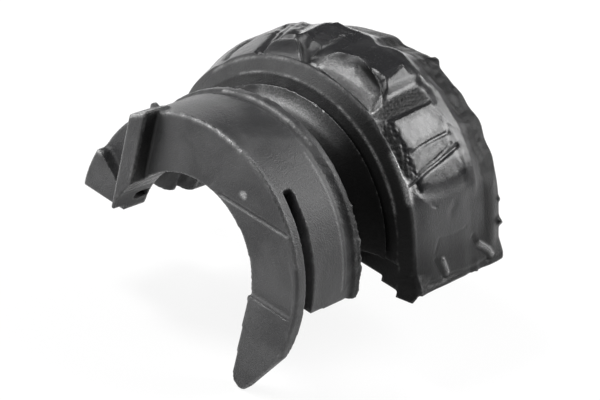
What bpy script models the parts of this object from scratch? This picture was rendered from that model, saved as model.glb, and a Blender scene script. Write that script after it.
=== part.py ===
"""One half of a two-part bush that holds a car's anti-roll bar, moulded in one piece of black rubber.

The bar runs along Y through the half bore, and the other half closes it from below.
From front to back the half has a face plate, a collar, a lip, a groove with a neck,
a flange and a heavy clamping block. A flat tongue reaches below the split on the
right, and a wedge and an upright key stand on the left of the front face.

The origin lies on the bar's axis in the plane of the front face. +Y runs along the
bar to the back, +X points to the tongue and +Z points up, away from the other half.
"""
import math

import bmesh
import bpy
from mathutils import Matrix, Vector

MM = 0.001

# Split plane and bore
split_height = 1.1 * MM          # height of the split above the bar's axis
block_drop = 0.5 * MM            # the block reaches this far below the rest of the split
bore_radius = 12.0 * MM          # bore of the block, which grips the bar
land_radius = 13.1 * MM          # narrow bore behind the front face
land_length = 4.8 * MM
recess_radius = 18.0 * MM        # wide bore inside the collar
recess_length = 5.2 * MM
bead_radius = 13.6 * MM          # first round bead at the mouth of the block's bore
bead_pitch = 3.2 * MM            # from one bead to the next along the bar
bead_lead = 1.9 * MM             # middle of the first bead, behind the bore's mouth
bead_swing = 1.0 * MM            # how far the valleys lie outside the beads
bead_width = 2.9 * MM            # from valley to valley

# Collar and its thin rubber lip
collar_radius = 22.5 * MM
collar_length = 11.8 * MM
collar_draft = 0.35 * MM         # growth of the radius from front to back
collar_edge = 0.35 * MM          # broken front edge
seam_depth = 0.4 * MM            # fine line between the collar and the lip
seam_width = 0.3 * MM
lip_radius = 23.4 * MM
lip_length = 2.2 * MM
lip_front_edge = (0.55 * MM, 0.77 * MM)   # bevel of the lip's front: depth, length
lip_back_edge = (0.44 * MM, 0.33 * MM)

# Groove, neck and the shoulder that rises to the flange
groove_length = 8.4 * MM
neck_lead = 1.0 * MM             # sloping back of the lip, down to the neck
neck_radius = 18.0 * MM
neck_length = 3.4 * MM           # straight floor of the groove
shoulder_radius = 22.4 * MM
undercut_width = 0.7 * MM        # between the shoulder and the flange
undercut_depth = 1.4 * MM
notch_height = 3.3 * MM          # open foot of the groove, above the split
notch_reach = 16.5 * MM          # distance of that notch from the middle
notch_inset = 0.25 * MM          # step from the lip, and into the flange

# Flange and clamping block
flange_radius = 24.05 * MM       # front edge of the flange
flange_length = 1.7 * MM
block_radius = 26.2 * MM         # where the block starts behind the flange
block_length = 23.5 * MM
crest_radius = 28.3 * MM         # round ridge across the block
crest_place = 15.0 * MM          # of the ridge, behind the flange
crest_width = 3.0 * MM
crest_drop = 0.9 * MM            # how far the block falls on both sides of the ridge
back_radius = 26.8 * MM          # at the back face
foot_half_width = 28.5 * MM      # half the width of the block at the split
foot_spread = 0.4 * MM           # how much wider the foot is at the back
foot_flare = 0.9 * MM            # how far the foot stands out of the straight side
foot_angles = (8.0, 3.0)         # degrees, where it flares out
back_edge = 1.2 * MM             # rounding of the back edge

# The left of the round top stands out further: places behind the flange, with their radii
left_profile = (
    (0.0 * MM, 26.9 * MM),
    (3.6 * MM, 28.2 * MM),
    (6.8 * MM, 29.4 * MM),
    (11.5 * MM, 29.6 * MM),
    (15.0 * MM, 28.9 * MM),
    (20.6 * MM, 27.8 * MM),
)
left_back_radius = 27.1 * MM
middle_share = 0.45              # how much of it the middle of the top has
middle_angles = (60.0, 66.0)     # where it fades in, in degrees from the X axis
left_angles = (92.0, 108.0)
left_end_angles = (172.0, 150.0)

# Relief moulded into the block, with angles in degrees from the X axis
scoop_depth = 1.7 * MM
scoop_floor = 1.6 * MM           # full depth up to here, behind the flange
scoop_shapes = ((78.5, 13.5, 7.2 * MM), (107.5, 10.5, 6.2 * MM))   # middle, half width, length
pad_lift = 0.5 * MM
pad_start = 1.2 * MM             # behind the flange
pad_length = 11.5 * MM
pad_edge = 2.2 * MM
pad_angles = ((35.0, 43.0), (44.5, 49.5), (50.5, 61.5), (70.0, 77.0))
valley_depth = 0.7 * MM          # between the top pads and those on the right side
valley_angle = 66.0
valley_half = 5.0
relief_edge = 2.0                # degrees, softness of the relief's sides
lump_height = 0.3 * MM
lump_pitch = 14.0                # degrees between the lumps at the back
lump_start = 120.0               # degrees, the first lump on the left
lump_angles = (30.0, 45.0)       # where the lumps fade in on the right
lump_end_angles = (165.0, 145.0)

# Front plate: tongue, slot, sloping face, key and wedge
plate_thickness = 2.1 * MM
slot_width = 1.8 * MM
slot_depth = 5.0 * MM
slot_top = 53.0                  # degrees above the X axis
tongue_inner = 13.3 * MM         # inner side of the tongue, from the middle
tongue_lean = 0.8 * MM           # how far the inner side moves outwards at the tip
tongue_length = 15.5 * MM        # below the bar's axis
tongue_tip = 2.0 * MM            # rounding of the tip
tongue_flat_start = -17.5        # degrees, where the outer side turns straight
tongue_shoulder = 2.4 * MM       # from the tip's inner side to where it turns up
slope_top = 13.2 * MM            # height where the sloping face starts
slope_foot = 0.5 * MM            # height of the step above the tongue
slope_depth = 0.8 * MM
rim_width = 1.0 * MM             # raised rim left along the outer edge
key_left = 13.4 * MM             # left side of the upright key, from the middle
key_width = 3.1 * MM
key_height = 3.0 * MM            # how far the key stands out of the front face
key_rise = 0.5 * MM              # how far the key's top stands above the collar
key_edge = 0.4 * MM
key_seat = 0.6 * MM              # depth of the key's root behind the pocket's floor
key_root_height = 2.1 * MM       # start of the key above the axis, inside the plate
wedge_top_inner = 19.84 * MM     # inner end of the wedge's top, from the middle
wedge_top_height = 8.0 * MM
wedge_foot_height = 3.2 * MM     # where the wedge's slope meets the bore
wedge_top_width = 1.0 * MM       # flat top of the wedge, before it rises to the outside
wedge_top_slope = 1.8 * MM
pocket_length = 3.0 * MM         # small pocket in the bore beside the wedge
pocket_height = 1.2 * MM
pocket_depth = 1.3 * MM
pocket_above_split = 1.9 * MM
pocket_start = 1.4 * MM          # behind the front face
pocket_reach = 2.7 * MM          # how far its opening clears the bore's wall

# Locating foot under the right end of the flange
foot_inner = 21.5 * MM
foot_drop = 1.1 * MM             # how far the flange reaches below the split
peg_inner = 24.8 * MM
peg_width = 2.8 * MM
peg_drop = 1.2 * MM              # how far the peg reaches below the flange's end

# Fineness of the mesh
turn_steps = 96
rise_steps = 8
bead_steps = 6
loft_step = 2.25                 # degrees between the block's lengthwise lines
loft_low = -8.0                  # degrees, where a section starts below the split
loft_rows = 25                   # sections along the block
smooth_angle = 32.0              # degrees, edges sharper than this stay sharp

# Places along the bar, worked out from the lengths
lip_front = collar_length + seam_width
lip_back = lip_front + lip_length
flange_front = lip_back + groove_length
block_front = flange_front + flange_length
block_back = block_front + block_length
bore_mouth = land_length + recess_length

NAME = "bushing_half"
reach = 4 * foot_half_width      # long enough to cut right through the part
outside = 1.25 * collar_radius   # clear of the collar and the lip
clear = 1.0 * MM                 # how far a cutter stands out of what it cuts


def clear_scene():
    for item in list(bpy.data.objects):
        bpy.data.objects.remove(item, do_unlink=True)


def new_collection(name):
    group = bpy.data.collections.new(name)
    bpy.context.scene.collection.children.link(group)
    return group


def add_object(name, mesh, group):
    item = bpy.data.objects.new(name, mesh)
    group.objects.link(item)
    return item


def hide_as_tool(item):
    item.hide_render = True
    item.display_type = "WIRE"


def turned(name, profile, group):
    """An outline of (radius, y) points, given from front to back outside, turned about the bar."""
    mesh = bpy.data.meshes.new(name)
    verts = [(radius, y, 0.0) for radius, y in profile]
    edges = [(i, i + 1) for i in range(len(verts) - 1)]
    if profile[0][0] > 0.0:
        # A ring's outline is closed, while a solid one begins and ends on the axis.
        edges.append((len(verts) - 1, 0))
    mesh.from_pydata(verts, edges, [])
    item = add_object(name, mesh, group)
    screw = item.modifiers.new("turn", "SCREW")
    screw.axis = "Y"
    screw.angle = math.radians(360)
    screw.steps = turn_steps
    screw.render_steps = turn_steps
    screw.use_merge_vertices = True
    screw.merge_threshold = 1e-6
    screw.use_normal_flip = True
    # Flat triangles cut cleanly, while slightly twisted four-sided faces don't.
    item.modifiers.new("flat_faces", "TRIANGULATE")
    return item


def extruded(name, outline, depth, group):
    """A flat outline of (x, z) points made a slab from y = 0 to y = depth."""
    curve = bpy.data.curves.new(name, "CURVE")
    curve.dimensions = "2D"
    curve.fill_mode = "BOTH"
    curve.extrude = depth / 2
    line = curve.splines.new("POLY")
    line.points.add(len(outline) - 1)
    for point, (across, up) in zip(line.points, outline):
        point.co = (across, up, 0.0, 1.0)
    line.use_cyclic_u = True
    shape = add_object(name + "_outline", curve, group)
    bpy.context.view_layer.update()
    evaluated = shape.evaluated_get(bpy.context.evaluated_depsgraph_get())
    mesh = bpy.data.meshes.new_from_object(evaluated)
    bpy.data.objects.remove(shape, do_unlink=True)
    mesh.name = name
    # The curve lies in XY with its thickness along Z: stand it up on its edge.
    mesh.transform(Matrix.Translation((0.0, depth / 2, 0.0)) @ Matrix.Rotation(math.radians(90), 4, "X"))
    work = bmesh.new()
    work.from_mesh(mesh)
    bmesh.ops.remove_doubles(work, verts=work.verts, dist=1e-7)
    bmesh.ops.recalc_face_normals(work, faces=work.faces)
    work.to_mesh(mesh)
    work.free()
    return add_object(name, mesh, group)


def box(name, low, high, group):
    """A box between two corners."""
    low = Vector(low)
    high = Vector(high)
    size = high - low
    place = Matrix.Translation((low + high) / 2) @ Matrix.Diagonal((size.x, size.y, size.z, 1.0))
    mesh = bpy.data.meshes.new(name)
    work = bmesh.new()
    bmesh.ops.create_cube(work, size=1.0, matrix=place)
    work.to_mesh(mesh)
    work.free()
    return add_object(name, mesh, group)


def boolean(item, tool, operation):
    step = item.modifiers.new(tool.name, "BOOLEAN")
    step.operation = operation
    step.solver = "EXACT"
    step.object = tool


def boolean_all(item, group, operation):
    """Joins or cuts with every object of a collection in one step."""
    step = item.modifiers.new(group.name, "BOOLEAN")
    step.operation = operation
    step.solver = "EXACT"
    step.operand_type = "COLLECTION"
    step.collection = group


def circle_points(radius, start, end, count):
    """Points in the XZ plane on a circle about the bar, angles in degrees from +X."""
    angles = [math.radians(start + (end - start) * i / count) for i in range(count + 1)]
    return [(radius * math.cos(a), radius * math.sin(a)) for a in angles]


def rounded_corner(before, corner, after, radius, count):
    """Points of an arc that rounds the corner between two straight sides."""
    corner = Vector(corner)
    to_before = (Vector(before) - corner).normalized()
    to_after = (Vector(after) - corner).normalized()
    half = to_before.angle(to_after) / 2
    middle = corner + (to_before + to_after).normalized() * radius / math.sin(half)
    first = corner + to_before * radius / math.tan(half) - middle
    last = corner + to_after * radius / math.tan(half) - middle
    turn = first.angle_signed(last)
    points = []
    for i in range(count + 1):
        points.append(tuple(middle + Matrix.Rotation(-turn * i / count, 2) @ first))
    return points


def smooth(low, high, value):
    """Rises softly from 0 at low to 1 at high, and falls where low is above high."""
    t = min(1.0, max(0.0, (value - low) / (high - low)))
    return t * t * (3.0 - 2.0 * t)


def body_profile():
    """Outside of the collar, lip, neck and shoulder, closed on the bar's axis."""
    collar_back = collar_radius + collar_draft
    groove_back = flange_front - undercut_width
    neck_start = lip_back + neck_lead
    neck_end = neck_start + neck_length
    points = [
        (0.0, 0.0),
        (collar_radius - collar_edge, 0.0),
        (collar_radius, collar_edge),
        (collar_back, collar_length),
        (collar_back - seam_depth, collar_length),
        (collar_back - seam_depth, lip_front),
        (lip_radius - lip_front_edge[0], lip_front),
        (lip_radius, lip_front + lip_front_edge[1]),
        (lip_radius, lip_back - lip_back_edge[1]),
        (lip_radius - lip_back_edge[0], lip_back),
        (neck_radius, neck_start),
    ]
    for i in range(rise_steps + 1):
        t = i / rise_steps
        # A hollow curve: flat at the groove's floor and steep at the shoulder.
        points.append((
            neck_radius + (shoulder_radius - neck_radius) * (1.0 - math.cos(t * math.pi / 2)),
            neck_end + (groove_back - neck_end) * math.sin(t * math.pi / 2),
        ))
    points += [
        (shoulder_radius - undercut_depth, groove_back + undercut_width / 5),
        (shoulder_radius - undercut_depth, block_front + flange_length),
        (0.0, block_front + flange_length),
    ]
    return points


def bore_profile():
    """Hollow along the bar: land, wide recess, two round beads and the bore."""
    before = -2 * key_height
    after = block_back + bore_radius
    points = [
        (0.0, before),
        (land_radius, before),
        (land_radius, land_length),
        (recess_radius, land_length),
        (recess_radius, bore_mouth),
    ]
    for bead, crest in enumerate((bead_radius, bore_radius)):
        middle = bore_mouth + bead_lead + bead * bead_pitch
        # Each bead is a round hump that narrows the bore at its middle. The second runs on as the bore.
        last = bead_steps if bead == 0 else 0
        for i in range(-bead_steps, last + 1):
            t = i / bead_steps
            points.append((crest + bead_swing * t * t, middle + t * bead_width / 2))
    points += [
        (bore_radius, after),
        (0.0, after),
    ]
    return points


def side_angle(radius, half_width):
    """Angle where the round top of a section passes into its straight side."""
    distance = math.hypot(half_width, split_height)
    return math.degrees(math.atan2(split_height, half_width) + math.acos(min(1.0, radius / distance)))


def between(ends, edge, value):
    """1 between two ends, falling softly to 0 over an edge on both sides."""
    low, high = ends
    return smooth(low - edge, low + edge, value) * smooth(high + edge, high - edge, value)


def read_profile(stations, y):
    """Radius between the stations of a profile, which are (place, radius)."""
    for (y0, r0), (y1, r1) in zip(stations, stations[1:]):
        if y <= y1:
            return r0 + (r1 - r0) * max(0.0, y - y0) / (y1 - y0)
    return stations[-1][1]


def right_radius(y):
    """Radius of the block's round top along the bar, without the relief."""
    return read_profile([
        (flange_front, flange_radius),
        (block_front, block_radius),
        (block_front + crest_place - crest_width, crest_radius - crest_drop),
        (block_front + crest_place, crest_radius),
        (block_front + crest_place + crest_width, crest_radius - crest_drop),
        (block_back, back_radius),
    ], y)


def left_radius(y):
    """The same on the left, where the top stands out further."""
    middle = [(block_front + along, radius) for along, radius in left_profile]
    return read_profile([(flange_front, flange_radius)] + middle + [(block_back, left_back_radius)], y)


def block_relief(angle, y):
    """Height of the moulded relief above the plain block, at an angle in degrees."""
    along = y - block_front
    share = middle_share * smooth(*middle_angles, angle) + (1.0 - middle_share) * smooth(*left_angles, angle)
    height = (left_radius(y) - right_radius(y)) * share * smooth(*left_end_angles, angle)
    # Two shell-shaped scoops in front, each deepest near the flange.
    for middle, half, length in scoop_shapes:
        sideways = (angle - middle) / half
        backwards = max(0.0, along - scoop_floor) / (length - scoop_floor)
        dish = math.sqrt(max(0.0, 1.0 - sideways ** 2 - backwards ** 2))
        height -= scoop_depth * dish * smooth(0.0, scoop_floor / 2, along)
    # Flat pads from the top down the right side, and the valley among them.
    middle = pad_start + pad_edge / 2
    lengthwise = between((middle, middle + pad_length), pad_edge / 2, along)
    for ends in pad_angles:
        height += pad_lift * between(ends, relief_edge, angle) * lengthwise
    valley = smooth(valley_angle - valley_half, valley_angle, angle)
    valley *= smooth(valley_angle + valley_half, valley_angle, angle)
    height -= valley_depth * valley * lengthwise
    # Lumps along the back edge, over the top of the block.
    across = smooth(*lump_angles, angle) * smooth(*lump_end_angles, angle)
    backwards = smooth(crest_place, crest_place + crest_width, along)
    wave = math.cos(math.radians((angle - lump_start) * 360.0 / lump_pitch))
    return height + lump_height * wave * across * backwards


def block_section(y, inset):
    """Points of one section of the block, from below the split round to the other side."""
    full = 180.0 - 2 * loft_low
    count = round(full / loft_step)
    radius = right_radius(y) - inset
    half_width = foot_half_width - foot_flare + foot_spread * (y - block_front) / block_length - inset
    turn = side_angle(radius, half_width) if y > flange_front else 0.0
    points = []
    for i in range(count + 1):
        angle = loft_low + full * i / count
        folded = min(angle, 180.0 - angle)
        reach_out = radius / math.cos(math.radians(max(0.0, turn - folded)))
        if y > flange_front:
            reach_out += block_relief(angle, y) + foot_flare * smooth(*foot_angles, folded)
        turned_by = math.radians(angle)
        points.append((reach_out * math.cos(turned_by), y, reach_out * math.sin(turned_by)))
    return points


def block_stations():
    """Places of the sections along the bar, each with its inset at the rounded back edge."""
    rows = [(flange_front, 0.0), (block_front, 0.0)]
    length = block_length - back_edge
    for i in range(1, loft_rows + 1):
        rows.append((block_front + length * i / loft_rows, 0.0))
    rows.append((block_back - 0.3 * back_edge, 0.3 * back_edge))
    rows.append((block_back, back_edge))
    return rows


def make_block(group):
    """The clamping block and its flange: unlike sections joined one behind the other."""
    work = bmesh.new()
    rings = []
    for y, inset in block_stations():
        rings.append([work.verts.new(point) for point in block_section(y, inset)])
    for front, back in zip(rings, rings[1:]):
        count = len(front)
        for i in range(count):
            j = (i + 1) % count
            work.faces.new((front[i], front[j], back[j], back[i]))
    work.faces.new(rings[0])
    work.faces.new(rings[-1])
    bmesh.ops.recalc_face_normals(work, faces=work.faces)
    bmesh.ops.triangulate(work, faces=work.faces)
    mesh = bpy.data.meshes.new("block")
    work.to_mesh(mesh)
    work.free()
    return add_object("block", mesh, group)


def tongue_outline():
    """Front view of the space that the tongue keeps below the split, tip to the left."""
    flat_start = circle_points(collar_radius, tongue_flat_start, tongue_flat_start, 1)[0]
    flat_end = (tongue_inner + tongue_lean + tongue_shoulder, -tongue_length)
    inner_tip = (tongue_inner + tongue_lean, -tongue_length + tongue_shoulder / 2)
    inner_root = (tongue_inner, split_height)
    heel = rounded_corner(flat_end, inner_tip, inner_root, tongue_tip, 4)
    tip = rounded_corner(flat_start, flat_end, inner_tip, 0.5 * tongue_tip, 4)
    above = 2 * split_height
    return tip + heel + [(tongue_inner, above), (outside, above), (outside, flat_start[1]), flat_start]


def make_below_split(group, helpers):
    """All that lies below the split, apart from the tongue and the flange's foot."""
    item = box("below_split", (-reach, -reach, -reach), (reach, reach, split_height), group)
    tongue = extruded("tongue_space", tongue_outline(), 2 * plate_thickness, helpers)
    tongue.data.transform(Matrix.Translation((0.0, -plate_thickness, 0.0)))
    low = (-0.9 * reach, block_front - flange_length / 2, split_height - block_drop)
    block = box("block_space", low, (0.9 * reach, 2 * reach, 2 * split_height), helpers)
    for space in (tongue, make_foot(helpers), block):
        boolean(item, space, "DIFFERENCE")
    return item


def make_key(group):
    """The upright key at the left: straight sides between the bore and the collar."""
    right = key_left - key_width
    top = collar_radius + key_rise
    left_angle = math.degrees(math.acos(-key_left / top))
    right_angle = math.degrees(math.acos(-right / top))
    outline = circle_points(top, right_angle, left_angle, 4)
    outline += [(-key_left, key_root_height), (-right, key_root_height)]
    item = extruded("key", outline, key_height + plate_thickness + key_seat, group)
    item.data.transform(Matrix.Translation((0.0, -key_height, 0.0)))
    edge = item.modifiers.new("edge", "BEVEL")
    edge.width = key_edge
    edge.segments = 2
    edge.limit_method = "ANGLE"
    edge.angle_limit = math.radians(50)
    item.modifiers.new("flat_faces", "TRIANGULATE")
    return item


def make_wedge_pocket(group):
    """Room between the wedge and the key, as deep as the mating tongue is thick."""
    outline = [
        (-key_left, outside),
        (-outside, outside),
        (-outside, wedge_top_height + wedge_top_slope),
        (-wedge_top_inner - wedge_top_width, wedge_top_height),
        (-wedge_top_inner, wedge_top_height),
        (-key_left, wedge_foot_height),
    ]
    item = extruded("wedge_pocket", outline, 2 * plate_thickness, group)
    item.data.transform(Matrix.Translation((0.0, -plate_thickness, 0.0)))
    return item


def make_slope(group, helpers):
    """Cuts the sloping face on the right and leaves the rim along the outer edge."""
    front = -slope_depth
    outline = [
        (front, slope_top),
        (0.0, slope_top),
        (slope_depth, slope_foot),
        (front, slope_foot),
    ]
    item = extruded("slope", outline, collar_radius, group)
    # The outline was drawn with Y as its width: turn it so that its length runs along X.
    item.data.transform(Matrix(((0, 1, 0, 0), (1, 0, 0, 0), (0, 0, 1, 0), (0, 0, 0, 1))))
    item.data.flip_normals()
    limit = turned("slope_limit", [
        (0.0, front - clear),
        (collar_radius - rim_width, front - clear),
        (collar_radius - rim_width, slope_depth + clear),
        (0.0, slope_depth + clear),
    ], helpers)
    boolean(item, limit, "INTERSECT")
    return item


def make_slot(group, helpers):
    """The deep slot behind the front plate, from the right end up round the collar."""
    inside = collar_radius - slot_depth
    back = plate_thickness + slot_width
    profile = [(inside, plate_thickness), (outside, plate_thickness), (outside, back), (inside, back)]
    item = turned("slot", profile, group)
    quarter = box("slot_limit", (0.0, 0.0, -reach), (reach, 2 * back, 0.0), helpers)
    quarter.rotation_euler.y = -math.radians(slot_top)
    boolean(item, quarter, "INTERSECT")
    return item


def make_notches(group):
    """Open feet of the groove at both ends of the half ring."""
    for name, side in (("notch_right", 1.0), ("notch_left", -1.0)):
        near = side * notch_reach
        far = side * outside
        low = (min(near, far), lip_back + notch_inset, -2 * split_height)
        high = (max(near, far), flange_front + notch_inset, split_height + notch_height)
        box(name, low, high, group)


def make_pocket(group):
    """The small pocket in the bore's wall beside the wedge."""
    low = (-land_radius - pocket_depth, pocket_start, split_height + pocket_above_split)
    high = (-land_radius + pocket_reach, pocket_start + pocket_length, low[2] + pocket_height)
    return box("bore_pocket", low, high, group)


def make_foot(group):
    """The space of the flange's locating foot with its peg, below the split on the right."""
    end = split_height - foot_drop
    above = 2 * split_height
    outline = [
        (foot_inner, above),
        (foot_inner, end),
        (peg_inner, end),
        (peg_inner, end - peg_drop),
        (peg_inner + peg_width, end - peg_drop),
        (peg_inner + peg_width + peg_drop, above),
    ]
    item = extruded("foot_space", outline, 2 * flange_length, group)
    item.data.transform(Matrix.Translation((0.0, block_front - 2 * flange_length, 0.0)))
    return item


def finish_surface(item):
    """Takes the joined and cut shape as the object's own mesh, smooth apart from its edges."""
    evaluated = item.evaluated_get(bpy.context.evaluated_depsgraph_get())
    mesh = bpy.data.meshes.new_from_object(evaluated)
    item.modifiers.clear()
    item.data = mesh
    mesh.shade_smooth()
    mesh.set_sharp_from_angle(angle=math.radians(smooth_angle))


def rubber_material():
    material = bpy.data.materials.new("black_rubber")
    material.use_nodes = True
    shader = material.node_tree.nodes["Principled BSDF"]
    shader.inputs["Base Color"].default_value = (0.045, 0.045, 0.047, 1.0)
    shader.inputs["Roughness"].default_value = 0.55
    shader.inputs["Metallic"].default_value = 0.0
    return material


def make_bushing():
    parts = new_collection(NAME)
    joined = new_collection("joined")
    cutters = new_collection("cutters")
    helpers = new_collection("cutter_shapes")

    body = turned(NAME, body_profile(), parts)
    make_block(joined)
    make_key(joined)
    boolean_all(body, joined, "UNION")

    turned("bore", bore_profile(), cutters)
    make_below_split(cutters, helpers)
    make_wedge_pocket(cutters)
    make_slot(cutters, helpers)
    make_slope(cutters, helpers)
    make_pocket(cutters)
    make_notches(cutters)
    boolean_all(body, cutters, "DIFFERENCE")

    for group in (joined, cutters, helpers):
        for item in group.objects:
            hide_as_tool(item)
    finish_surface(body)
    body.data.materials.append(rubber_material())
    return body


clear_scene()
make_bushing()
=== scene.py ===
# %% [markdown]
# A black rubber bush half
#
# This is one half of the rubber bush that holds a car's anti-roll bar. It is moulded
# in one piece: a face plate with a tongue, a collar with a thin lip, a deep groove, and
# a heavy block that a steel clamp presses down. The solid model of it already exists,
# at its real size. In this lesson the solid gets its true surface: edges as soft as
# rubber has them, the swellings and creases of the block, the thin flash along the mould's
# joints, and a rubber material with grain, bloom and wear.

# %% Load the solid model
import math

import bpy
import numpy as np
from mathutils import Matrix, Vector


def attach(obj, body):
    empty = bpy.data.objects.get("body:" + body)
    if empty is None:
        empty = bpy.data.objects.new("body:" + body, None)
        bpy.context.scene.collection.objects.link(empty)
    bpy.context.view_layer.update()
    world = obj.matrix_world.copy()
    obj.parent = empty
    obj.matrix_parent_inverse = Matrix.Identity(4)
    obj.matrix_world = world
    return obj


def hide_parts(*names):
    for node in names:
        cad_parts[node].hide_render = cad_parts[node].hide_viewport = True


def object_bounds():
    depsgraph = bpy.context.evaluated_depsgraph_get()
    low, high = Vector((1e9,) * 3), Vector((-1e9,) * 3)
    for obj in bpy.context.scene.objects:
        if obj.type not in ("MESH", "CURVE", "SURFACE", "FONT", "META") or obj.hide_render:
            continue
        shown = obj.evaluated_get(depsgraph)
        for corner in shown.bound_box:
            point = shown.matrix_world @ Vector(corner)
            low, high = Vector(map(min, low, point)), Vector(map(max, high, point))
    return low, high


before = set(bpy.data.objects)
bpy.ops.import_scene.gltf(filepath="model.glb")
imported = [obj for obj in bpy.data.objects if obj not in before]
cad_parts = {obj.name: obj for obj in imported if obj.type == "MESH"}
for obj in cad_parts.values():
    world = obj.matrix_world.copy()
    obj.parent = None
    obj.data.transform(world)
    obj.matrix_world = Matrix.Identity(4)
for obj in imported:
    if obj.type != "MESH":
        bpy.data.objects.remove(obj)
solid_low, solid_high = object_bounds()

MM = 0.001
NODE = "bushing_half"
print("solid in mm:", [round(v / MM, 1) for v in solid_high - solid_low])


# %% [markdown]
# Start from a clean selection
#
# Operators act on all that is selected, and the imported solid is selected when it
# arrives. Everything is deselected before each step, and one helper makes an object the
# active one, so that no operator works on the wrong mesh.

# %% Selection helpers
def pick(item):
    bpy.ops.object.select_all(action="DESELECT")
    item.select_set(True)
    bpy.context.view_layer.objects.active = item
    return item


def apply_modifier(item, kind, **settings):
    step = item.modifiers.new(kind.lower(), kind)
    for name, value in settings.items():
        setattr(step, name, value)
    pick(item)
    bpy.ops.object.modifier_apply(modifier=step.name)


# %% [markdown]
# One skin for one moulding
#
# The real part comes out of its mould in one piece, so its skin has to be one mesh too.
# A copy of the solid is merged, because the solid arrives as loose triangles. A voxel
# remesh then lays an even net of small squares over it. That suits rubber: the net
# rounds each sharp edge by about its own mesh width, as a mould does, and it is fine
# enough to carry the relief that comes later. A short smoothing takes away the steps
# that voxels leave on sloping faces.

# %% Copy, merge and remesh
SKIN_WIDTH = 0.22 * MM
SOFTEN_TIMES = 3

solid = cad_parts[NODE]
skin = bpy.data.objects.new("rubber_moulding", solid.data.copy())
bpy.context.scene.collection.objects.link(skin)
skin.data.materials.clear()
pick(skin)
bpy.ops.object.mode_set(mode="EDIT")
bpy.ops.mesh.select_all(action="SELECT")
bpy.ops.mesh.remove_doubles(threshold=0.001 * MM)
bpy.ops.object.mode_set(mode="OBJECT")
apply_modifier(skin, "REMESH", mode="VOXEL", voxel_size=SKIN_WIDTH, use_smooth_shade=True)
apply_modifier(skin, "SMOOTH", factor=0.5, iterations=SOFTEN_TIMES)
print("skin faces:", len(skin.data.polygons))


# %% [markdown]
# Work in the part's own round coordinates
#
# Nearly everything on this part turns about the bar. A place on the skin is therefore
# given by three numbers in millimetres and degrees: the angle above the +X axis, the
# place along the bar, and the distance from the bar. Whole arrays of them are moved at
# once, which does in code what a sculpting brush does by hand.

# %% Read the skin as arrays
def read_points(item):
    flat = np.empty(len(item.data.vertices) * 3)
    item.data.vertices.foreach_get("co", flat)
    return flat.reshape(-1, 3) / MM


def read_normals(item):
    flat = np.empty(len(item.data.vertices) * 3)
    item.data.vertices.foreach_get("normal", flat)
    return flat.reshape(-1, 3)


def write_points(item, points):
    item.data.vertices.foreach_set("co", (points * MM).ravel())
    item.data.update()


def turn_and_reach(points):
    """Angle in degrees above +X and distance from the bar in mm, for every point."""
    return np.degrees(np.arctan2(points[:, 2], points[:, 0])), np.hypot(points[:, 0], points[:, 2])


def ramp(low, high, value):
    """0 at low and 1 at high with soft ends. It falls where low is above high."""
    t = np.clip((value - low) / (high - low), 0.0, 1.0)
    return t * t * (3.0 - 2.0 * t)


def band(low, high, edge, value):
    """1 between low and high, with soft edges."""
    return ramp(low - edge, low + edge, value) * ramp(high + edge, high - edge, value)


def within(points, **limits):
    """1 where a point lies within all limits, by angle, radius, place along or across.

    Two numbers are a ramp from 0 to 1. Three are a band: from, to and its soft edge.
    """
    angle, radius = turn_and_reach(points)
    measures = {"angle": angle, "radius": radius, "along": points[:, 1], "across": points[:, 0]}
    share = np.ones(len(points))
    for name, edges in limits.items():
        share *= (ramp if len(edges) == 2 else band)(*edges, measures[name])
    return share


# %% [markdown]
# Brushes
#
# A worked surface is built from few kinds of mark: a groove or a ridge along a line, and
# inside an outline a hollow, a swelling or a face pressed flat. Each mark below is given
# by places (angle, along) and by heights in millimetres, and each returns how far every
# point of the skin moves outward. A soft waviness keeps the surfaces from looking too
# even.

# %% Brushes that work on the unrolled skin
TOP_RADIUS = 28.0                 # radius in mm at which the skin is unrolled
BLOCK_FRONT = 24.4                # where the block starts behind the flange
WAVES = 8                         # crossed sines in a waviness
FAR = 1e9                         # mm, where no line has been measured yet
FEWEST_POINTS = 10                # that a plane is laid through
CUSHION_EDGE = (-0.2, 0.9)        # mm inside the outline over which a swelling begins
WAVE_SPREAD = (0.6, 1.6)          # shortest and longest wave, in sizes


def unroll(angle, along):
    """The skin laid out flat, in mm: the arc at the block's radius, and the place along."""
    return np.stack((np.radians(angle) * TOP_RADIUS, along), axis=-1)


def gap_to_line(sheet, corners):
    """Distance in mm to the nearest part of a line through the given places."""
    corners = unroll(*np.array(corners, dtype=float).T)
    nearest = np.full(len(sheet), FAR)
    for a, b in zip(corners[:-1], corners[1:]):
        t = np.clip((sheet - a) @ (b - a) / np.dot(b - a, b - a), 0.0, 1.0)
        nearest = np.minimum(nearest, np.linalg.norm(sheet - a - t[:, None] * (b - a), axis=1))
    return nearest


def depth_inside(sheet, corners):
    """Distance in mm to the outline, counted below zero outside of it."""
    closed = list(corners) + [corners[0]]
    gap = gap_to_line(sheet, closed)
    edges = unroll(*np.array(closed, dtype=float).T)
    inside = np.zeros(len(sheet), dtype=bool)
    for a, b in zip(edges[:-1], edges[1:]):
        if a[1] == b[1]:
            continue
        crosses = (a[1] > sheet[:, 1]) != (b[1] > sheet[:, 1])
        inside ^= crosses & (sheet[:, 0] < a[0] + (sheet[:, 1] - a[1]) * (b[0] - a[0]) / (b[1] - a[1]))
    return np.where(inside, gap, -gap)


def line_mark(sheet, corners, height, width):
    """A ridge (or, with a height below zero, a groove) along a line."""
    return height * np.exp(-(gap_to_line(sheet, corners) / width) ** 2)


def sink(sheet, corners, depth, wall):
    """A hollow inside an outline, as deep as given once the wall's width is passed."""
    return -depth * ramp(0.0, wall, depth_inside(sheet, corners))


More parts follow.
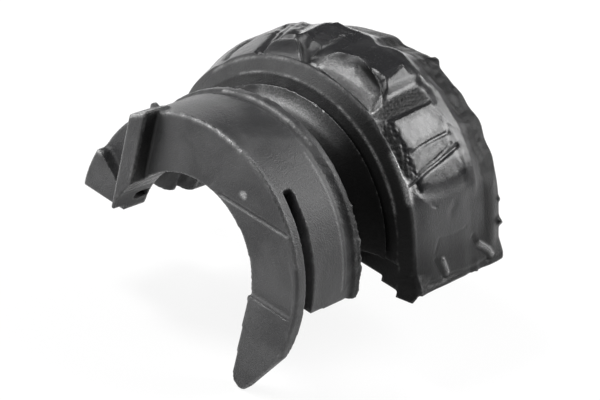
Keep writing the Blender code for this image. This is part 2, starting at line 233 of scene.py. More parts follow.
def cushion(sheet, points, corners, foot, top, rises):
    """A swelling inside an outline: a round front that rises from its foot to a flat top.

    How long the rise is along the bar is given at the smallest angle, in the middle and at
    the largest angle.
    """
    share = ramp(*CUSHION_EDGE, depth_inside(sheet, corners))
    turns = np.array(corners)[:, 0]
    rise = np.interp(np.degrees(sheet[:, 0] / TOP_RADIUS), (turns.min(), turns.mean(), turns.max()), rises)
    climbed = np.clip((sheet[:, 1] - BLOCK_FRONT) / rise, 0.0, 1.0)
    level = foot + (top - foot) * np.sin(climbed * math.pi / 2)
    return share * (level - np.hypot(points[:, 0], points[:, 2]))


def press_flat(sheet, points, corners, edge, tilt=0.0, lift=0.0):
    """Move the skin inside an outline onto the plane that fits it best.

    The tilt, in degrees, turns the plane towards smaller angles about its own middle.
    """
    share = ramp(-edge, edge, depth_inside(sheet, corners))
    chosen = share > 0.5
    if chosen.sum() < FEWEST_POINTS:
        return np.zeros(len(sheet))
    plane = np.linalg.lstsq(points[chosen], np.ones(chosen.sum()), rcond=None)[0]
    radius = np.hypot(points[:, 0], points[:, 2])
    reach = (1.0 - plane[1] * points[:, 1]) / ((points[:, 0] * plane[0] + points[:, 2] * plane[2]) / radius)
    middle = sheet[chosen, 0].mean()
    return share * (reach - radius + lift + (sheet[:, 0] - middle) * math.tan(math.radians(tilt)))


def wave_noise(sheet, seed, scale):
    """A soft, repeatable waviness between about -1 and 1, from a few crossed sines."""
    random = np.random.default_rng(seed)
    total = np.zeros(len(sheet))
    for _ in range(WAVES):
        direction = random.uniform(0.0, math.pi)
        length = scale * random.uniform(*WAVE_SPREAD)
        phase = random.uniform(0.0, 2 * math.pi)
        across = sheet @ np.array((math.cos(direction), math.sin(direction)))
        total += np.sin(across * 2 * math.pi / length + phase)
    return total / math.sqrt(WAVES)


# %% [markdown]
# The block's relief
#
# The block's top was moulded against a rough, worked steel face. Seen from the front it
# has two low swellings behind the flange, smooth dark faces over them, flat pads that
# step down the right side, a round ridge across the block and a row of lumps behind it.
# The solid model holds the ridge, the pads and the lumps. Here they get their true
# outlines, flat faces and creases, and the swellings fill the place of two shallow
# hollows. All this could be carved with a sculpting brush. Written as outlines, each mark
# can be set against the photograph and corrected on its own. The marks are made one after
# the other, each on the skin the last one left.

# %% Marks on the block
FACETS = (
    # outline (angle, along), softness of the edge in mm, tilt in degrees, lift in mm
    # right wall
    (((33.0, 26.4), (29.0, 45.0), (3.0, 45.0), (3.0, 26.4)), 2.00, 0.0, 0.0),
    # dark faces above the swellings, from left to right
    (((98.0, 38.3), (98.2, 29.0), (103.0, 29.2), (107.8, 31.3), (109.0, 36.5), (106.5, 38.6)),
     0.60, 0.0, 0.0),
    (((97.8, 38.3), (94.3, 38.2), (94.3, 27.0), (97.6, 26.2)), 0.60, -2.0, 0.05),
    (((94.0, 38.0), (87.6, 38.0), (85.2, 32.3), (93.6, 31.2)), 0.45, 2.0, 0.0),
    (((87.0, 38.3), (78.0, 38.1), (76.6, 36.5), (75.2, 31.4), (84.5, 32.0)), 0.45, -3.0, 0.0),
    (((76.6, 36.2), (69.0, 36.4), (68.7, 29.6), (74.2, 30.6)), 0.60, 9.0, 0.15),
    # dark band beside them
    (((70.3, 36.9), (61.8, 37.2), (61.0, 31.0), (61.4, 26.0), (63.5, 25.0), (66.0, 25.2), (70.0, 29.2)),
     0.90, -3.0, -0.05),
    # pads down the right side
    (((61.4, 37.0), (50.3, 36.7), (49.6, 32.0), (48.6, 28.3), (50.0, 26.9), (60.6, 26.9)), 0.50, 0.0, 0.05),
    (((49.4, 36.4), (46.6, 36.4), (44.0, 33.0), (42.0, 30.0), (40.3, 27.4), (44.0, 26.9), (48.2, 28.0)),
     0.50, 1.0, 0.0),
    (((43.6, 36.7), (35.6, 36.6), (34.0, 33.0), (35.2, 28.0), (39.4, 28.2), (41.6, 32.2)), 1.60, 0.0, 0.0),
)
FIRST_PAD = 7                     # its place in FACETS
CUSHIONS = (
    # outline, radius at the foot, radius on top, length of the round rise (right, middle, left)
    (((118.0, 24.7), (117.7, 27.9), (114.5, 29.2), (111.0, 29.9), (108.2, 29.7), (105.8, 28.9),
      (102.5, 27.4), (99.5, 25.9), (97.6, 24.7)), 25.9, 28.5, (4.6, 4.6, 4.2)),
    (((93.2, 24.8), (94.4, 27.9), (92.6, 29.9), (88.0, 31.3), (84.0, 31.7), (80.0, 31.3), (76.5, 30.8),
      (73.0, 29.9), (69.5, 28.8), (67.0, 27.5), (65.8, 24.9)), 25.8, 28.45, (2.6, 3.8, 5.6)),
)
RIM = ((118.5, 23.5), (118.5, 26.5), (65.0, 26.5), (65.0, 23.5))   # foot of the cushions
RIM_RADIUS = 26.2
RIM_END = (25.4, 24.6)            # mm along the bar over which the foot ends
SINKS = (
    # outline, depth in mm, width of the wall in mm
    (((61.2, 23.0), (61.0, 26.9), (54.0, 27.1), (50.0, 26.8), (44.0, 27.2), (39.5, 26.2), (39.0, 23.0)),
     0.7, 2.6),
)
CREASES = (
    # line, height in mm (below zero for a groove), width in mm
    # valleys between the lobes at the top left
    (((135.0, 24.5), (136.9, 26.9), (135.1, 29.1), (131.7, 30.5), (129.5, 33.5)), -0.60, 1.1),
    (((118.4, 24.4), (118.1, 26.4), (118.7, 28.4), (119.5, 31.5), (121.5, 34.5)), -0.35, 0.6),
    (((117.4, 27.0), (116.1, 29.5), (117.0, 32.0), (119.0, 35.5)), -0.25, 0.5),
    (((110.6, 31.0), (111.0, 33.0), (112.6, 35.5), (115.0, 38.5)), -0.32, 1.1),
    (((107.0, 31.5), (107.8, 34.0), (108.8, 36.5)), 0.12, 1.0),
    # seam between two dark faces, with a nub at its end
    (((98.1, 27.2), (98.3, 31.0), (98.6, 34.6)), 0.08, 0.18),
    (((98.8, 34.7), (98.7, 34.9)), 0.25, 0.30),
    # crest of the round ridge
    (((110.0, 38.6), (100.0, 38.9), (90.0, 38.6), (87.0, 38.7), (82.0, 39.3), (78.0, 38.8), (68.0, 37.9)),
     0.35, 0.9),
    # valleys between the lumps behind it
    (((89.4, 39.5), (89.6, 43.0), (90.3, 47.5)), -0.75, 1.5),
    (((65.6, 42.5), (65.0, 48.0)), -0.60, 1.7),
    (((102.5, 40.5), (106.0, 47.5)), -0.55, 2.0),
    # creases between the dark faces
    (((87.2, 38.2), (85.4, 33.0), (84.4, 31.9)), -0.12, 0.35),
    (((76.9, 36.4), (75.0, 33.0), (74.3, 30.6)), -0.16, 0.35),
    # creases behind, between and in front of the pads
    (((62.0, 37.6), (52.0, 37.4), (50.5, 36.9), (45.0, 37.2), (40.0, 37.3), (33.0, 37.1)), -0.06, 0.60),
    (((52.0, 37.6), (48.0, 39.5), (45.5, 42.5)), -0.07, 0.40),
    (((50.0, 36.8), (49.6, 33.0), (48.8, 29.4), (47.6, 27.6)), -0.11, 0.30),
    (((44.8, 37.5), (43.7, 35.5), (42.2, 32.5), (41.0, 29.6), (39.7, 27.5), (38.2, 26.7), (35.2, 26.8)),
     -0.28, 0.32),
    (((46.4, 36.4), (45.0, 34.8), (43.4, 32.4), (41.9, 29.4), (40.4, 27.0)), -0.09, 0.28),
    (((38.2, 26.7), (37.6, 25.0)), -0.16, 0.30),
    (((60.6, 26.8), (57.0, 27.3), (54.6, 26.5), (52.0, 27.0), (50.0, 26.4), (47.8, 27.0)), -0.08, 0.35),
    # folds on the larger swelling
    (((85.6, 30.6), (83.6, 29.4), (82.0, 28.0)), 0.25, 0.8),
    (((79.5, 29.8), (75.0, 28.6), (71.5, 27.8)), -0.30, 1.2),
    (((93.4, 30.2), (88.0, 31.4), (84.0, 31.8), (80.0, 31.4), (76.5, 30.9), (73.0, 30.0)), -0.14, 0.35),
    # bumps that show in the outline
    (((122.0, 36.0), (117.0, 36.0)), 0.30, 2.00),
    (((101.5, 42.5), (98.5, 45.0)), 0.35, 1.80),
    (((76.3, 46.4), (75.7, 47.2)), 0.70, 0.50),
    (((22.2, 46.8), (21.6, 47.2)), 0.35, 0.40),
    (((14.4, 46.4), (13.4, 47.4)), 0.75, 0.60),
    # scratch and shallow marks on the right wall
    (((29.6, 28.6), (28.4, 29.6)), -0.20, 0.28),
    (((26.8, 34.2), (25.4, 33.4), (24.0, 33.2)), -0.10, 0.80),
    (((17.6, 37.0), (16.8, 34.5), (17.2, 31.5), (17.4, 30.0), (13.0, 28.9)), -0.06, 0.30),
    # two tear-shaped ridges near the foot, each with a groove beside it
    (((9.8, 40.4), (7.0, 42.6), (4.8, 43.6)), 0.32, 0.42),
    (((12.8, 38.8), (9.0, 40.0), (5.0, 42.4), (3.2, 42.8)), -0.28, 0.50),
    (((9.6, 30.6), (7.2, 31.2), (5.0, 31.6)), 0.32, 0.40),
    (((10.2, 28.8), (7.0, 29.8), (3.6, 30.8)), -0.25, 0.42),
    # groove along the foot
    (((3.6, 25.0), (3.0, 29.0), (3.6, 33.0), (2.8, 38.0), (3.4, 43.0), (3.0, 46.5)), -0.20, 0.40),
)
ROUGH = (
    # outline, height in mm and size in mm of the roughness inside it
    (((61.5, 24.5), (61.5, 26.9), (40.0, 27.1), (40.0, 24.5)), 0.09, 0.9),
    (((67.6, 26.0), (67.6, 37.0), (61.8, 37.0), (61.8, 26.0)), 0.03, 0.8),
    (((92.0, 42.0), (92.0, 47.0), (34.0, 47.0), (34.0, 42.0)), 0.06, 2.4),
    (((124.0, 30.0), (124.0, 38.0), (112.0, 38.0), (112.0, 30.0)), 0.05, 1.8),
)
ROUGH_SEED = 30                   # of the first rough field; each next one takes the next seed
print("marks:", sum(map(len, (FACETS, CUSHIONS, SINKS, CREASES, ROUGH))))


# %% Take the block's points
FACING_OUT = (0.1, 0.45)          # share of the normal that points away from the bar
BEHIND_FLANGE = (24.2, 24.9)      # mm along the bar
ABOVE_BORE = (22.0, 23.5)         # mm from the bar

points = read_points(skin)
normals = read_normals(skin)
radius = np.hypot(points[:, 0], points[:, 2])
outward = (points[:, 0] * normals[:, 0] + points[:, 2] * normals[:, 2]) / radius
share = ramp(*FACING_OUT, outward) * ramp(*BEHIND_FLANGE, points[:, 1]) * ramp(*ABOVE_BORE, radius)
block = np.flatnonzero(share > 0)
share = share[block]
start = radius[block].copy()
spot = points[block]
turned = spot[:, [0, 2]] / start[:, None]
sheet = unroll(np.degrees(np.arctan2(spot[:, 2], spot[:, 0])), spot[:, 1])
print("points on the block:", len(block))


def move(spot, amount):
    """Move the block's points away from the bar by the given amounts in mm."""
    spot[:, [0, 2]] += turned * (amount * share)[:, None]


# %% Press the marks into the block
RIDGE_PLACE = (37.2, 41.6, 1.6)   # of the round ridge along the bar: from, to, soft edge
RIDGE_FALL = 0.20                 # mm by which it sinks on the right side
RIDGE_FALLS_OVER = (40.0, 32.0)   # degrees
WIDE_WAVES = (3, 9.0)             # seed, size in mm
FINE_WAVES = (5, 2.5)
FINE_WAVES_OVER = (24.0, 40.0)    # degrees over which the fine waves begin
WAVE_HEIGHTS = (0.03, 0.012)      # mm, of the wide and the fine waves

for outline, edge, tilt, lift in FACETS:
    move(spot, press_flat(sheet, spot, outline, edge, tilt, lift))
rim = ramp(*RIM_END, sheet[:, 1]) * ramp(-0.5, 0.5, depth_inside(sheet, RIM))
move(spot, rim * (RIM_RADIUS - np.hypot(spot[:, 0], spot[:, 2])))
for outline, foot, top, rises in CUSHIONS:
    move(spot, cushion(sheet, spot, outline, foot, top, rises))
for outline, depth, wall in SINKS:
    move(spot, sink(sheet, outline, depth, wall))
for line, height, width in CREASES:
    move(spot, line_mark(sheet, line, height, width))
for seed, (outline, height, size) in enumerate(ROUGH):
    inside = ramp(-0.3, 0.6, depth_inside(sheet, outline))
    move(spot, height * wave_noise(sheet, ROUGH_SEED + seed, size) * inside)
angle = np.degrees(sheet[:, 0] / TOP_RADIUS)
ridge = band(*RIDGE_PLACE, sheet[:, 1])
move(spot, -RIDGE_FALL * ridge * ramp(*RIDGE_FALLS_OVER, angle))
wide_waves = WAVE_HEIGHTS[0] * wave_noise(sheet, *WIDE_WAVES)
fine_waves = WAVE_HEIGHTS[1] * wave_noise(sheet, *FINE_WAVES) * ramp(*FINE_WAVES_OVER, angle)
move(spot, wide_waves + fine_waves)
points[block] = spot
write_points(skin, points)
lift = np.hypot(spot[:, 0], spot[:, 2]) - start
print("relief in mm:", round(float(lift.min()), 2), round(float(lift.max()), 2))


# %% [markdown]
# Flash, parting lines, worn edges and painted highlights
#
# Where two mould parts met, rubber crept into the gap and left a thin, ragged fin. It
# shows as a pale broken line. A thin strip of its own would look glued on, so the skin
# itself is raised. Such a line is followed here in space: it is given by its ends in
# round coordinates, cut into short pieces, and the skin near it is raised a little, more
# in some places than in others. How pale it is goes into the skin as a number that the
# material reads. The same number carries painted highlights: on the tops of the key and
# the wedge, on the flange's edges, below the crease across the face, as painted sheens on
# the block and as a painted sheen on the saddle at the back of the groove.

# %% Follow lines in space
LINE_REACH = 2.0                  # mm within which a line in space is measured
SPACE_SPREAD = (0.5, 1.6)         # shortest and longest wave in space, in sizes


def arc(first, last, along, radius, steps=16):
    """Points on an arc about the bar, all in mm."""
    turn = np.radians(np.linspace(first, last, steps))
    y = np.linspace(*along, steps) if isinstance(along, tuple) else np.full(steps, along)
    r = np.linspace(*radius, steps) if isinstance(radius, tuple) else np.full(steps, radius)
    return np.stack((r * np.cos(turn), y, r * np.sin(turn)), axis=-1)


def gap_in_space(points, line):
    """Distance in mm to a line in space, exact within LINE_REACH and large beyond."""
    line = np.asarray(line, dtype=float)
    low, high = line.min(axis=0) - LINE_REACH, line.max(axis=0) + LINE_REACH
    close = np.flatnonzero(((points > low) & (points < high)).all(axis=1))
    gap = np.full(len(points), FAR)
    spot = points[close]
    best = np.full(len(close), FAR)
    for a, b in zip(line[:-1], line[1:]):
        t = np.clip((spot - a) @ (b - a) / np.dot(b - a, b - a), 0.0, 1.0)
        best = np.minimum(best, np.linalg.norm(spot - a - t[:, None] * (b - a), axis=1))
    gap[close] = best
    return gap


def space_noise(points, seed, scale):
    """A repeatable waviness in space between about -1 and 1."""
    random = np.random.default_rng(seed)
    total = np.zeros(len(points))
    for _ in range(WAVES):
        direction = random.normal(size=3)
        direction /= np.linalg.norm(direction)
        length = scale * random.uniform(*SPACE_SPREAD)
        total += np.sin(points @ direction * 2 * math.pi / length + random.uniform(0.0, 2 * math.pi))
    return total / math.sqrt(WAVES)


# %% Lines of the moulding and painted highlights
LINES = (
    # line, height in mm, width in mm, raggedness 0 to 1, paleness 0 to 1, which is flash on some lines and
    # a painted highlight on others
    (arc(118.0, 74.0, 0.25, 22.2), 0.12, 0.32, 0.7, 0.60),            # flash on the front edge
    (arc(74.0, 24.0, 0.35, 22.3), 0.05, 0.34, 0.4, 0.30),
    (((4.2, 0.0, 13.2), (17.6, 0.0, 13.2)), -0.24, 0.22, 0.1, 0.0),   # crease across the face
    # painted highlight along the crease's lower edge
    (((4.2, 0.0, 12.85), (17.6, 0.0, 12.85)), 0.05, 0.14, 0.3, 0.34),
    (arc(64.0, 8.0, 10.4, 22.75), 0.10, 0.24, 0.3, 0.22),             # parting line on the collar
    (arc(115.0, 10.0, 11.6, 22.8), -0.18, 0.30, 0.4, 0.0),            # dark line before the lip
    (arc(112.0, 66.0, 12.5, 23.1), 0.10, 0.28, 0.8, 0.55),            # flash on the lip
    (arc(60.0, 10.0, 12.9, 23.4), 0.06, 0.40, 1.0, 0.12),
    (arc(120.0, 60.0, 13.9, 23.5), 0.12, 0.45, 1.0, 0.06),            # ragged rim of the lip
    (arc(38.0, 3.0, 14.2, 23.4), 0.32, 0.70, 0.9, 0.0),
    (arc(125.0, 30.0, 22.8, 24.1), 0.08, 0.22, 0.7, 0.30),            # front edge of the flange, pale as a painted highlight
    (arc(140.0, 94.0, 24.0, 26.3), 0.08, 0.28, 0.7, 0.30),            # rear edge of the flange, pale as a painted highlight
    (arc(94.0, 50.0, 24.1, 26.2), 0.08, 0.30, 0.9, 0.15),
    # painted highlight: the bright sliver on the flange's rear edge
    (arc(50.0, 33.0, 24.35, 26.2), 0.10, 0.50, 0.2, 1.00),
    (arc(33.0, 4.0, 24.2, 26.1), 0.10, 0.30, 1.0, 0.05),
    (((8.1, 0.0, 15.2), (8.6, 0.0, 15.5), (8.6, 0.0, 15.0)), 0.04, 0.34, 0.0, 0.90),
    (((-13.1, -2.9, 18.6), (-10.6, -2.9, 20.15)), 0.04, 0.34, 0.3, 0.90),   # painted highlight on the top of the key
    (((-20.8, 0.1, 8.0), (-19.9, 0.1, 8.0)), 0.02, 0.42, 0.2, 0.80),        # painted highlight on the top of the wedge
    (arc(125.2, 123.8, 2.2, 22.9, 3), 0.70, 0.40, 0.0, 0.0),          # nubs
    (((22.0, 0.9, -6.4), (22.1, 1.1, -7.0)), 0.60, 0.35, 0.0, 0.0),
)
PAINTED_SHEENS = (
    # painted sheen along a line on the block (angle, along), width in mm, paleness 0 to 1
    (((66.6, 25.0), (67.6, 27.2), (68.8, 28.3)), 0.50, 0.80),
    (((67.0, 25.4), (74.0, 26.4), (84.0, 27.2), (90.0, 27.0)), 1.10, 0.28),
    (((92.6, 25.4), (93.0, 27.4), (91.8, 28.8)), 0.80, 0.50),
    (((84.6, 31.2), (86.0, 29.8), (85.8, 28.0)), 0.80, 0.30),
    (((99.4, 26.0), (102.5, 27.5), (105.8, 28.9), (108.4, 29.8)), 0.28, 0.26),
    (((98.2, 28.0), (98.4, 31.0), (98.6, 34.6)), 0.16, 0.12),
    (((9.8, 40.4), (7.0, 42.6), (4.8, 43.6)), 0.40, 0.50),
    (((9.6, 30.6), (7.2, 31.2), (5.0, 31.6)), 0.36, 0.50),
)
print("lines:", len(LINES), "sheens:", len(PAINTED_SHEENS))


# %% Raise the lines and store how pale they are, painted highlights included
FINE_NOISE = (11, 0.8)            # seed, size in mm
WIDE_NOISE = (13, 4.0)
LIP_NOISE = (12, 2.6)
BREAKS = (0.45, 0.35, 0.45)       # how much of a ragged line stays: level, fine and wide noise
FULLEST = 1.2                     # share of its height that a ragged line may reach
SADDLE_PAINTED_SHEEN = (0.24, 0.04)       # paleness of the saddle's painted sheen, and how much it varies
SADDLE_PLACE = (20.6, 22.4, 0.4)  # along the bar: from, to, soft edge
SADDLE_RADIUS = (19.0, 20.0)      # mm between which it begins
LIP_PLACE = (11.9, 14.6, 0.3)     # along the bar: from, to, soft edge
LIP_RADIUS = (22.6, 23.1)         # mm between which it begins
LIP_HEIGHT = 0.04                 # mm, of the lip's waviness


def store(item, name, values):
    """Keep one number for each point of the skin, under a name the material can read."""
    layer = item.data.attributes.new(name, "FLOAT", "POINT")
    layer.data.foreach_set("value", values.astype(np.float32))


def on_saddle(points, angle):
    """1 on the saddle at the back of the groove, rising between two angles."""
    return within(points, along=SADDLE_PLACE, radius=SADDLE_RADIUS, angle=angle)


points = read_points(skin)
normals = read_normals(skin)
fine = space_noise(points, *FINE_NOISE)
wide = space_noise(points, *WIDE_NOISE)
broken = np.clip(BREAKS[0] + BREAKS[1] * fine + BREAKS[2] * wide, 0.0, FULLEST)
pale = np.zeros(len(points))
for line, height, width, ragged, tone in LINES:
    near = np.exp(-(gap_in_space(points, line) / width) ** 2)
    kept = 1.0 - ragged + ragged * broken
    points += normals * (near * height * kept)[:, None]
    pale = np.maximum(pale, near * tone * kept)
# painted sheens on the block's swellings and ridges
for line, width, tone in PAINTED_SHEENS:
    gap = gap_to_line(sheet, line)
    pale[block] = np.maximum(pale[block], tone * np.exp(-(gap / width) ** 2) * ramp(0.0, 0.3, share))
# painted sheen on the saddle
sheen = on_saddle(points, angle=(62.0, 85.0)) * (SADDLE_PAINTED_SHEEN[0] + SADDLE_PAINTED_SHEEN[1] * wide)
pale = np.maximum(pale, sheen * within(points, angle=(118.0, 112.0)))
lip = within(points, along=LIP_PLACE, radius=LIP_RADIUS)
points += normals * (LIP_HEIGHT * lip * space_noise(points, *LIP_NOISE))[:, None]
write_points(skin, points)
store(skin, "pale", pale)
print("pale points:", int((pale > 0.2).sum()))


# %% [markdown]
# Fewer faces where the skin is flat
#
# The net is even, so flat faces hold as many squares as the sharpest crease. A coarser net
# would lose the creases. A decimate step merges faces only where the skin hardly bends,
# and keeps the piece light.

# %% Thin the net
MOST_TRIANGLES = 180000


def count_triangles(item):
    return sum(len(face.vertices) - 2 for face in item.data.polygons)


triangles = count_triangles(skin)
if triangles > MOST_TRIANGLES:
    apply_modifier(skin, "DECIMATE", ratio=MOST_TRIANGLES / triangles)
skin.data.shade_smooth()
print("skin triangles:", count_triangles(skin))


# %% [markdown]
# Where the skin is matt, worn or dirty, and where shade is painted
#
# A material can only react to what it can read. Four numbers are therefore stored at
# each point of the skin: how glossy it is moulded (the block is, the collar isn't), how
# much shade is painted on (in the groove, on the flange, on the key's and the lip's right
# sides, on dark patches and along the pads' borders on the block), how much it stands
# out as an edge that rubs, and how deep it lies as a hollow that keeps dust.
# The last two come from the shape itself: the way a point stands against the mean of its
# neighbours shows whether the skin bulges or sinks there.

# %% Mean of the neighbours
def neighbour_mean(item, values, times):
    """Mean of each point's neighbours along the edges, taken several times over."""
    pairs = np.empty(len(item.data.edges) * 2, dtype=np.int64)
    item.data.edges.foreach_get("vertices", pairs)
    first, second = pairs[0::2], pairs[1::2]
    count = np.bincount(pairs, minlength=len(values)).astype(float)
    for _ in range(times):
        total = np.zeros_like(values)
        for column in range(values.shape[1]):
            total[:, column] = (
                np.bincount(first, values[second, column], len(values))
                + np.bincount(second, values[first, column], len(values))
            )
        values = total / np.maximum(count, 1.0)[:, None]
    return values


# %% Patches of painted shade
SHADES = (
    # outline (angle, along) of a patch of painted shade, depth 0 to 1
    (((83.0, 28.6), (79.0, 28.2), (74.0, 27.9), (70.6, 28.0), (72.0, 29.6), (76.5, 30.6), (82.0, 31.2)),
     1.00),
    (((116.0, 27.2), (113.0, 29.0), (108.5, 29.2), (105.0, 28.0)), 0.60),
    (((96.5, 30.0), (95.0, 25.0), (97.0, 24.6), (100.0, 26.6)), 0.60),
)
PADS = tuple(facet[0] for facet in FACETS[FIRST_PAD:FIRST_PAD + 2])   # with a grainy border of painted shade
PAD_BORDER_SHADE = 0.55                 # depth of the painted shade on that border, 0 to 1
print("dark patches:", len(SHADES), "pads with a border:", len(PADS))


# %% Where each place begins and ends
# angles are in degrees, radii and places along and across the bar in mm
MEAN_TIMES = 6

points = read_points(skin)
normals = read_normals(skin)
bulge = ((points - neighbour_mean(skin, points, MEAN_TIMES)) * normals).sum(axis=1)
right_half = within(points, angle=(-60.0, -30.0))
on_block = within(points, along=BEHIND_FLANGE, radius=(23.0, 24.5))
behind_ridge = within(points, along=(40.8, 42.5), angle=(118.0, 108.0))
right_wall = within(points, angle=(37.0, 32.0)) * right_half
left_side = within(points, angle=(108.0, 114.0))
on_ridge = within(points, along=(37.0, 38.5), angle=(100.0, 90.0))
dark_band = within(points, angle=(61.8, 67.6, 0.9), along=(25.5, 37.0, 0.8))
rough_facet = within(points, angle=(87.6, 94.0, 0.6), along=(32.0, 38.0, 0.5))
rough_pad = within(points, angle=(69.5, 77.0, 0.8), along=(29.0, 37.5, 0.5))
ledge = within(points, angle=(40.0, 62.0, 1.0), along=(27.0, 26.0))
satin = within(points, angle=(66.0, 117.0, 1.0), along=(31.0, 29.0))
low_side = within(points, angle=(24.0, 8.0)) * right_wall
flange = within(points, along=(22.4, 24.6, 0.3), radius=(22.6, 23.4))
key_side = within(points, across=(-10.55, -9.7, 0.15), along=(0.2, -0.3))
lip_side = within(points, along=(12.3, 15.2, 0.3), angle=(62.0, 42.0)) * right_half
in_groove = within(points, along=(14.2, 14.8)) * within(points, along=(24.4, 24.0))
saddle = on_saddle(points, angle=(55.0, 80.0))
print("points on the thinned block:", int((on_block > 0.5).sum()))


# %% Store gloss and painted shade
EDGE_BULGE = 0.14                 # mm above the neighbours at which an edge counts as sharp
SHOWN_BULGE = 0.06                # mm, for the counts printed below
SADDLE_GLOSS = 0.7
SHADE_EDGE = (-0.6, 0.8)          # mm inside its outline over which a dark patch begins
BORDER = (-0.3, 0.8, 0.5)         # mm inside a pad's outline: from, to and soft edge
BORDER_WANDER = 0.7               # mm
BORDER_NOISE = (17, 1.6)          # seed, size in mm
GROOVE_SHADE_OVER = (105.0, 55.0)          # degrees over which the painted shade in the groove deepens from grey to black

# how far each place is dulled, and then how far painted shade darkens it, 0 to 1
dulled = np.maximum.reduce((
    0.7 * behind_ridge, 0.5 * right_wall, 0.45 * left_side, 0.25 * rough_facet, 0.8 * ledge,
    0.35 * satin, 0.35 * on_ridge, 0.6 * dark_band, 0.4 * rough_pad,
))
store(skin, "glossy", np.maximum(on_block * (1.0 - dulled), SADDLE_GLOSS * saddle))
sheet = unroll(turn_and_reach(points)[0], points[:, 1])
# painted shade on the ledge below the pads, the dark band, behind the ridge, the low right side and the
# flange
shaded = np.maximum.reduce((
    0.7 * ledge, 0.85 * dark_band, 0.8 * behind_ridge, 0.7 * low_side, 0.3 * flange,
))
for outline, depth in SHADES:
    shaded = np.maximum(shaded, depth * ramp(*SHADE_EDGE, depth_inside(sheet, outline)))
wander = BORDER_WANDER * (0.5 + 0.5 * space_noise(points, *BORDER_NOISE))
# painted shade along the pads' borders
for outline in PADS:
    gap = depth_inside(sheet, outline)
    shaded = np.maximum(shaded, PAD_BORDER_SHADE * band(*BORDER, gap - wander))
# painted shade only on the block and the flange, and on the key's and the lip's right sides
shaded = np.maximum.reduce((shaded * np.maximum(on_block, flange), 0.85 * key_side, 0.6 * lip_side))
# painted shade in the groove, deeper towards the right, except on the saddle
groove_painted_shade = in_groove * (1.0 - saddle) * within(points, angle=GROOVE_SHADE_OVER)
store(skin, "painted_shade", np.maximum(groove_painted_shade, shaded))
store(skin, "edge", np.clip(bulge / EDGE_BULGE, 0.0, 1.0))
store(skin, "hollow", np.clip(-bulge / EDGE_BULGE, 0.0, 1.0))
print("edge points:", int((bulge > SHOWN_BULGE).sum()))
print("hollow points:", int((bulge < -SHOWN_BULGE).sum()))


# %% [markdown]
# Rubber
#
# The rubber is a black that is never quite black. The matt faces scatter light off a
# fine grain and a thin grey bloom, and the block, pressed against polished steel, is
# glossy and deeper black. Both are one material that reads the stored numbers. Grain,
# bloom and wear are node groups with named inputs, so that another finish can use them
# with its own values. Each group puts out a mask or a height, and the shader stays in
# the material. Flash is pale in crumbs, so its mask is broken up by the same grain. A
# picture of real rubber would repeat and blur close up, and noise does neither.

# %% Helpers for node groups
def new_group(name, inputs, outputs):
    tree = bpy.data.node_groups.new(name, "ShaderNodeTree")
    for label, kind, value in inputs:
        socket = tree.interface.new_socket(label, in_out="INPUT", socket_type=kind)
        if value is not None:
            socket.default_value = value
    for label, kind in outputs:
        tree.interface.new_socket(label, in_out="OUTPUT", socket_type=kind)
    return tree, tree.nodes.new("NodeGroupInput"), tree.nodes.new("NodeGroupOutput")


def math_node(tree, operation, *values, clamp=False):
    node = tree.nodes.new("ShaderNodeMath")
    node.operation = operation
    node.use_clamp = clamp
    for socket, value in zip(node.inputs, values):
        if isinstance(value, bpy.types.NodeSocket):
            tree.links.new(value, socket)
        else:
            socket.default_value = value
    return node.outputs[0]


def noise_node(tree, vector, scale, detail, roughness=0.5, distortion=0.0):
    node = tree.nodes.new("ShaderNodeTexNoise")
    tree.links.new(vector, node.inputs["Vector"])
    inputs = (("Scale", scale), ("Detail", detail), ("Roughness", roughness), ("Distortion", distortion))
    for name, value in inputs:
        if isinstance(value, bpy.types.NodeSocket):
            tree.links.new(value, node.inputs[name])
        else:
            node.inputs[name].default_value = value
    return node.outputs["Fac"]


def range_node(tree, value, low, high, to_low=0.0, to_high=1.0):
    node = tree.nodes.new("ShaderNodeMapRange")
    node.interpolation_type = "SMOOTHSTEP"
    tree.links.new(value, node.inputs["Value"])
    for name, number in (("From Min", low), ("From Max", high), ("To Min", to_low), ("To Max", to_high)):
        node.inputs[name].default_value = number
    return node.outputs["Result"]


def attribute_node(tree, name):
    node = tree.nodes.new("ShaderNodeAttribute")
    node.attribute_name = name
    return node.outputs["Fac"]


# %% Group: rubber grain
SPECKLE_RANGE = (0.58, 0.72)      # of the fine noise, for pale specks
CRUMB_RANGE = (0.38, 0.64)        # of the fine noise, for the crumbs of flash
CRUMB_FACTORS = (0.45, 1.7)       # paleness between and on the crumbs


def grain_group():
    """Height of a fine pebbled grain and of a wider unevenness, pale specks and crumbs."""
    tree, start, end = new_group(
        "rubber_grain",
        [("Vector", "NodeSocketVector", None), ("Grain Size", "NodeSocketFloat", 4000.0),
         ("Wave Size", "NodeSocketFloat", 350.0), ("Wave Share", "NodeSocketFloat", 0.5)],
        [("Height", "NodeSocketFloat"), ("Speckle", "NodeSocketFloat"), ("Crumbs", "NodeSocketFloat")],
    )
    fine = noise_node(tree, start.outputs["Vector"], start.outputs["Grain Size"], 3.0, 0.6)
    wide = noise_node(tree, start.outputs["Vector"], start.outputs["Wave Size"], 3.0, 0.55)
    share = math_node(tree, "MULTIPLY", wide, start.outputs["Wave Share"])
    tree.links.new(math_node(tree, "ADD", fine, share), end.inputs["Height"])
    tree.links.new(range_node(tree, fine, *SPECKLE_RANGE), end.inputs["Speckle"])
    tree.links.new(range_node(tree, fine, *CRUMB_RANGE, *CRUMB_FACTORS), end.inputs["Crumbs"])
    return tree


# %% Group: bloom and dust
CLOUD_RANGE = (0.35, 0.7)         # of the cloudy noise, from bare rubber to full bloom
SETTLED_SHARE = 0.4               # bloom that a hollow adds


